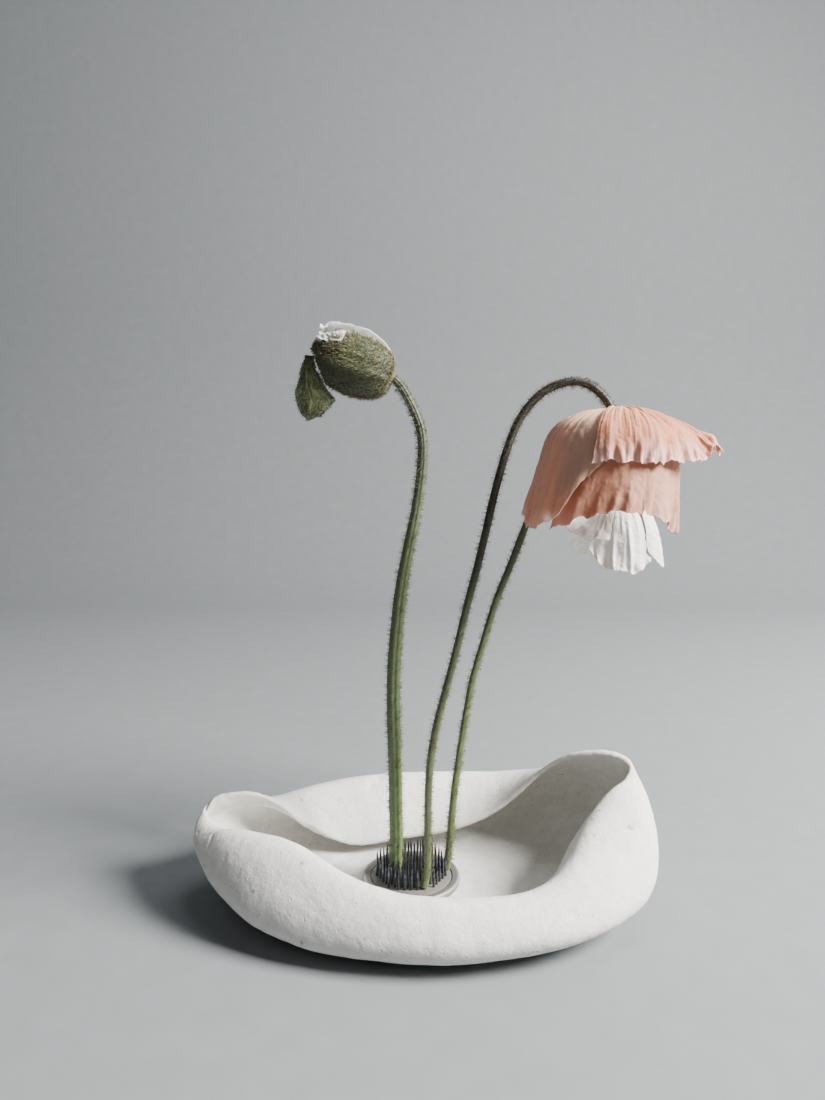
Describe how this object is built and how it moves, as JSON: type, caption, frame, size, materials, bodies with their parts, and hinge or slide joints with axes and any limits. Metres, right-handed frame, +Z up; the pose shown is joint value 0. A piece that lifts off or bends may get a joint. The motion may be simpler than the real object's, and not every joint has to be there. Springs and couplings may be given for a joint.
{
  "type": "ikebana arrangement",
  "caption": "Nodding Iceland poppies and an opening bud on a round pin holder, standing in a hand-folded matte stoneware bowl.",
  "frame": {"origin": "on the table under the middle of the pin holder, on the flat foot of the bowl", "axes": "+X to the right along the bowl, towards the taller lobe; +Y to the back; +Z up along the stems"},
  "size_m": [0.2577, 0.1417, 0.2869],
  "materials": {
    "stoneware": "matte speckled off-white stoneware, unglazed and slightly pitted",
    "plate": "dull grey cast metal with a brighter worn edge",
    "needles": "dark blue-grey steel points",
    "stem": "fresh green stem with fine pale bristles",
    "sepal": "olive green bristly calyx",
    "petal_white": "thin crumpled white petal",
    "petal_pink": "thin pleated light pink petal",
    "petal_peach": "thin peach petal",
    "ovary": "pale green seed head",
    "stamen": "yellow stamens and stigma"
  },
  "bodies": {
    "root": {"bowl": "stoneware", "kenzan_base": "plate", "kenzan_needles": "needles", "bud_stem": "stem", "pink_stem": "stem", "white_stem": "stem", "bud_sepal_clinging": "sepal", "bud_sepal_loose": "sepal", "bud_petal_outer": "petal_white", "bud_petal_front": "petal_white", "bud_petal_slit": "petal_white", "bud_petal_inner": "petal_white", "bud_ovary": "ovary", "pink_petal_top": "petal_pink", "pink_petal_left": "petal_peach", "pink_petal_front": "petal_peach", "pink_petal_back": "petal_pink", "pink_receptacle": "ovary", "pink_ovary": "ovary", "pink_stigma": "stamen", "pink_stamens": "stamen", "white_petal_left": "petal_white", "white_petal_centre": "petal_white", "white_petal_right": "petal_white", "white_petal_back": "petal_white", "white_receptacle": "ovary", "white_ovary": "ovary", "white_stigma": "stamen", "white_stamens": "stamen"}
  },
  "joints": []
}
